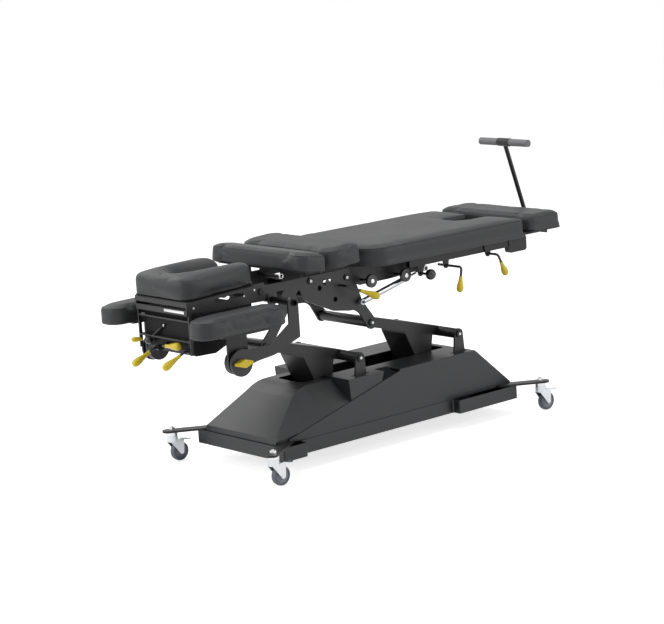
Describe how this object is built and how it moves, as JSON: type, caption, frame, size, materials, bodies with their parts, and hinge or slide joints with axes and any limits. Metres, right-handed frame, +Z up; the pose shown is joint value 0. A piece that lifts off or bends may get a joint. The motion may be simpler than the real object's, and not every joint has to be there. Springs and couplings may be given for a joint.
{
  "type": "chiropractic table",
  "caption": "Wheeled chiropractic table with a powered parallelogram lift, sectioned cushions, tilting head section, armrests and a T-shaped handle at the foot end.",
  "frame": {"origin": "on the floor, at the centre of the base between the four castors", "axes": "+X from the head end to the foot end, +Y to the far side, +Z up"},
  "size_m": [2.0447, 0.67, 1.079],
  "materials": {
    "base_paint": "satin",
    "frame_paint": "satin",
    "steel": "satin",
    "spring_grey": "satin",
    "vinyl": "matte",
    "housing_plastic": "matte",
    "yellow_plastic": "gloss",
    "stem_paint": "satin",
    "grip_rubber": "matte",
    "zinc": "satin",
    "wheel_rubber": "matte",
    "pedal_steel": "satin"
  },
  "bodies": {
    "base": {"base_pan": "base_paint", "base_cover": "base_paint", "castor_arms": "frame_paint", "castor_stems": "steel", "pivot_brackets": "frame_paint", "lower_pivot_pins": "steel", "actuator_mount": "frame_paint"},
    "rear_arm": {"rear_lift_arm": "frame_paint"},
    "front_arm": {"front_lift_arm": "frame_paint"},
    "actuator": {"actuator_barrel": "spring_grey"},
    "actuator_stroke": {"actuator_rod": "steel"},
    "upper_frame": {"upper_side_plate_near": "frame_paint", "upper_side_plate_far": "frame_paint", "upper_cross_tubes": "frame_paint", "upper_pivot_pins": "steel", "bolster_tray": "frame_paint", "bolster_cushion": "vinyl", "armrest_hanger_near": "frame_paint", "armrest_hanger_far": "frame_paint"},
    "thoracic": {"thoracic_cushion": "vinyl", "thoracic_tray": "frame_paint"},
    "leg_section": {"leg_cushion": "vinyl", "leg_frame": "frame_paint"},
    "gas_cylinder": {"gas_spring_cylinder": "spring_grey"},
    "gas_rod": {"gas_spring_rod": "steel"},
    "foot_section": {"foot_cushion": "vinyl", "foot_frame": "frame_paint", "handle_stem": "stem_paint", "handle_grips": "grip_rubber"},
    "head_section": {"head_frame": "frame_paint", "head_housing": "housing_plastic", "face_tray": "frame_paint", "face_cushion": "vinyl"},
    "armrest_near": {"armrest_swing_near": "frame_paint", "armrest_pad_near": "vinyl"},
    "armrest_far": {"armrest_swing_far": "frame_paint", "armrest_pad_far": "vinyl"},
    "knob_near": {"armrest_knob_near": "yellow_plastic"},
    "knob_far": {"armrest_knob_far": "yellow_plastic"},
    "leg_handle": {"leg_lever": "yellow_plastic"},
    "foot_handle": {"foot_lever": "yellow_plastic"},
    "chest_handle": {"chest_lever": "yellow_plastic"},
    "plunger": {"release_plunger": "housing_plastic"},
    "disc_front": {"tension_knob_front": "housing_plastic"},
    "disc_rear": {"tension_knob_rear": "housing_plastic"},
    "head_handle_near": {"head_lever_near": "yellow_plastic"},
    "head_handle_middle": {"head_lever_middle": "yellow_plastic"},
    "head_handle_far": {"head_lever_far": "yellow_plastic"},
    "fork_head_near": {"castor_fork_head_near": "zinc"},
    "wheel_head_near": {"castor_wheel_head_near": "wheel_rubber"},
    "pedal_head_near": {"brake_pedal_head_near": "pedal_steel"},
    "fork_head_far": {"castor_fork_head_far": "zinc"},
    "wheel_head_far": {"castor_wheel_head_far": "wheel_rubber"},
    "pedal_head_far": {"brake_pedal_head_far": "pedal_steel"},
    "fork_foot_near": {"castor_fork_foot_near": "zinc"},
    "wheel_foot_near": {"castor_wheel_foot_near": "wheel_rubber"},
    "pedal_foot_near": {"brake_pedal_foot_near": "pedal_steel"},
    "fork_foot_far": {"castor_fork_foot_far": "zinc"},
    "wheel_foot_far": {"castor_wheel_foot_far": "wheel_rubber"},
    "pedal_foot_far": {"brake_pedal_foot_far": "pedal_steel"}
  },
  "joints": [
    {"name": "swivel_head_near", "type": "hinge", "parent": "base", "child": "fork_head_near", "pos_m": [-0.703, -0.305, 0.095], "axis": [0, 0, 1], "continuous": true},
    {"name": "roll_head_near", "type": "hinge", "parent": "fork_head_near", "child": "wheel_head_near", "pos_m": [-0.674, -0.305, 0.0375], "axis": [0, 1, 0], "continuous": true},
    {"name": "brake_head_near", "type": "hinge", "parent": "fork_head_near", "child": "pedal_head_near", "pos_m": [-0.669, -0.305, 0.082], "axis": [0, 1, 0], "range_deg": [0, 8]},
    {"name": "swivel_head_far", "type": "hinge", "parent": "base", "child": "fork_head_far", "pos_m": [-0.703, 0.305, 0.095], "axis": [0, 0, 1], "continuous": true},
    {"name": "roll_head_far", "type": "hinge", "parent": "fork_head_far", "child": "wheel_head_far", "pos_m": [-0.674, 0.305, 0.0375], "axis": [0, 1, 0], "continuous": true},
    {"name": "brake_head_far", "type": "hinge", "parent": "fork_head_far", "child": "pedal_head_far", "pos_m": [-0.669, 0.305, 0.082], "axis": [0, 1, 0], "range_deg": [0, 8]},
    {"name": "swivel_foot_near", "type": "hinge", "parent": "base", "child": "fork_foot_near", "pos_m": [0.703, -0.305, 0.095], "axis": [0, 0, 1], "continuous": true},
    {"name": "roll_foot_near", "type": "hinge", "parent": "fork_foot_near", "child": "wheel_foot_near", "pos_m": [0.732, -0.305, 0.0375], "axis": [0, 1, 0], "continuous": true},
    {"name": "brake_foot_near", "type": "hinge", "parent": "fork_foot_near", "child": "pedal_foot_near", "pos_m": [0.737, -0.305, 0.082], "axis": [0, 1, 0], "range_deg": [0, 8]},
    {"name": "swivel_foot_far", "type": "hinge", "parent": "base", "child": "fork_foot_far", "pos_m": [0.703, 0.305, 0.095], "axis": [0, 0, 1], "continuous": true},
    {"name": "roll_foot_far", "type": "hinge", "parent": "fork_foot_far", "child": "wheel_foot_far", "pos_m": [0.732, 0.305, 0.0375], "axis": [0, 1, 0], "continuous": true},
    {"name": "brake_foot_far", "type": "hinge", "parent": "fork_foot_far", "child": "pedal_foot_far", "pos_m": [0.737, 0.305, 0.082], "axis": [0, 1, 0], "range_deg": [0, 8]},
    {"name": "lift", "type": "hinge", "parent": "base", "child": "rear_arm", "pos_m": [0.3765, 0, 0.364], "axis": [0, 1, 0], "range_deg": [-19, 24]},
    {"name": "front_arm_swing", "type": "hinge", "parent": "base", "child": "front_arm", "pos_m": [-0.151, 0, 0.364], "axis": [0, 1, 0], "range_deg": [-19, 24]},
    {"name": "frame_level", "type": "hinge", "parent": "rear_arm", "child": "upper_frame", "pos_m": [-0.04956, 0, 0.47976], "axis": [0, 1, 0], "range_deg": [-24, 19]},
    {"name": "actuator_tilt", "type": "hinge", "parent": "base", "child": "actuator", "pos_m": [0.575, 0, 0.125], "axis": [0, 1, 0], "range_deg": [-2, 2]},
    {"name": "actuator_travel", "type": "slide", "parent": "actuator", "child": "actuator_stroke", "axis": [-0.8744, 0, 0.4852], "range_m": [-0.038, 0.048]},
    {"name": "thoracic_drop", "type": "hinge", "parent": "upper_frame", "child": "thoracic", "pos_m": [-0.345, 0, 0.69], "axis": [0, 1, 0], "range_deg": [0, 2.8]},
    {"name": "leg_flexion", "type": "hinge", "parent": "upper_frame", "child": "leg_section", "pos_m": [-0.165, 0, 0.675], "axis": [0, 1, 0], "range_deg": [0, 20]},
    {"name": "foot_extension", "type": "slide", "parent": "leg_section", "child": "foot_section", "axis": [1, 0, 0], "range_m": [0, 0.1]},
    {"name": "gas_spring_swing", "type": "hinge", "parent": "upper_frame", "child": "gas_cylinder", "pos_m": [-0.108, -0.166, 0.572], "axis": [0, 1, 0], "range_deg": [-1, 24]},
    {"name": "gas_spring_stroke", "type": "slide", "parent": "gas_cylinder", "child": "gas_rod", "axis": [0.9742, 0, 0.2255], "range_m": [-0.037, 0.001]},
    {"name": "head_tilt", "type": "hinge", "parent": "upper_frame", "child": "head_section", "pos_m": [-0.588, 0, 0.69], "axis": [0, 1, 0], "range_deg": [-25, 20]},
    {"name": "armrest_tilt_near", "type": "hinge", "parent": "upper_frame", "child": "armrest_near", "pos_m": [-0.787, -0.258, 0.473], "axis": [0, 1, 0], "range_deg": [-12, 5]},
    {"name": "armrest_knob_turn_near", "type": "hinge", "parent": "upper_frame", "child": "knob_near", "pos_m": [-0.787, -0.28, 0.473], "axis": [0, 1, 0], "range_deg": [-90, 90]},
    {"name": "armrest_tilt_far", "type": "hinge", "parent": "upper_frame", "child": "armrest_far", "pos_m": [-0.787, 0.258, 0.473], "axis": [0, 1, 0], "range_deg": [-12, 5]},
    {"name": "armrest_knob_turn_far", "type": "hinge", "parent": "upper_frame", "child": "knob_far", "pos_m": [-0.787, 0.28, 0.473], "axis": [0, 1, 0], "range_deg": [-90, 90]},
    {"name": "leg_lever_pull", "type": "hinge", "parent": "leg_section", "child": "leg_handle", "pos_m": [0.318, -0.2, 0.65], "axis": [0, 1, 0], "range_deg": [-20, 20], "stiffness_Nm_per_rad": 1},
    {"name": "foot_lever_pull", "type": "hinge", "parent": "leg_section", "child": "foot_handle", "pos_m": [0.522, -0.23, 0.668], "axis": [0, 1, 0], "range_deg": [-20, 20], "stiffness_Nm_per_rad": 1},
    {"name": "chest_lever_pull", "type": "hinge", "parent": "upper_frame", "child": "chest_handle", "pos_m": [-0.2, -0.149, 0.65], "axis": [0, 1, 0], "range_deg": [-10, 25]},
    {"name": "head_lever_near_pull", "type": "hinge", "parent": "head_section", "child": "head_handle_near", "pos_m": [-0.9133, -0.126, 0.522], "axis": [0, 1, 0], "range_deg": [-5, 5], "stiffness_Nm_per_rad": 3},
    {"name": "head_lever_middle_pull", "type": "hinge", "parent": "head_section", "child": "head_handle_middle", "pos_m": [-0.9133, 0.005, 0.532], "axis": [0, 1, 0], "range_deg": [-5, 5], "stiffness_Nm_per_rad": 3},
    {"name": "head_lever_far_pull", "type": "hinge", "parent": "head_section", "child": "head_handle_far", "pos_m": [-0.9133, 0.058, 0.515], "axis": [0, 1, 0], "range_deg": [-5, 5], "stiffness_Nm_per_rad": 3},
    {"name": "plunger_pull", "type": "slide", "parent": "leg_section", "child": "plunger", "axis": [0, -1, 0], "range_m": [0, 0.012], "stiffness_N_per_m": 300},
    {"name": "tension_knob_turn_front", "type": "hinge", "parent": "leg_section", "child": "disc_front", "pos_m": [-0.081, -0.16, 0.652], "axis": [0, 1, 0], "continuous": true},
    {"name": "tension_knob_turn_rear", "type": "hinge", "parent": "leg_section", "child": "disc_rear", "pos_m": [0.096, -0.16, 0.646], "axis": [0, 1, 0], "continuous": true}
  ],
  "couplings": [
    {"joint": "front_arm_swing", "follows": "lift", "ratio": 1},
    {"joint": "frame_level", "follows": "lift", "ratio": -1},
    {"joint": "actuator_tilt", "follows": "lift", "ratio": 0.07},
    {"joint": "actuator_travel", "follows": "lift", "m_per_rad": 0.11},
    {"joint": "gas_spring_swing", "follows": "leg_flexion", "ratio": 1.165},
    {"joint": "gas_spring_stroke", "follows": "leg_flexion", "m_per_rad": -0.1037}
  ]
}
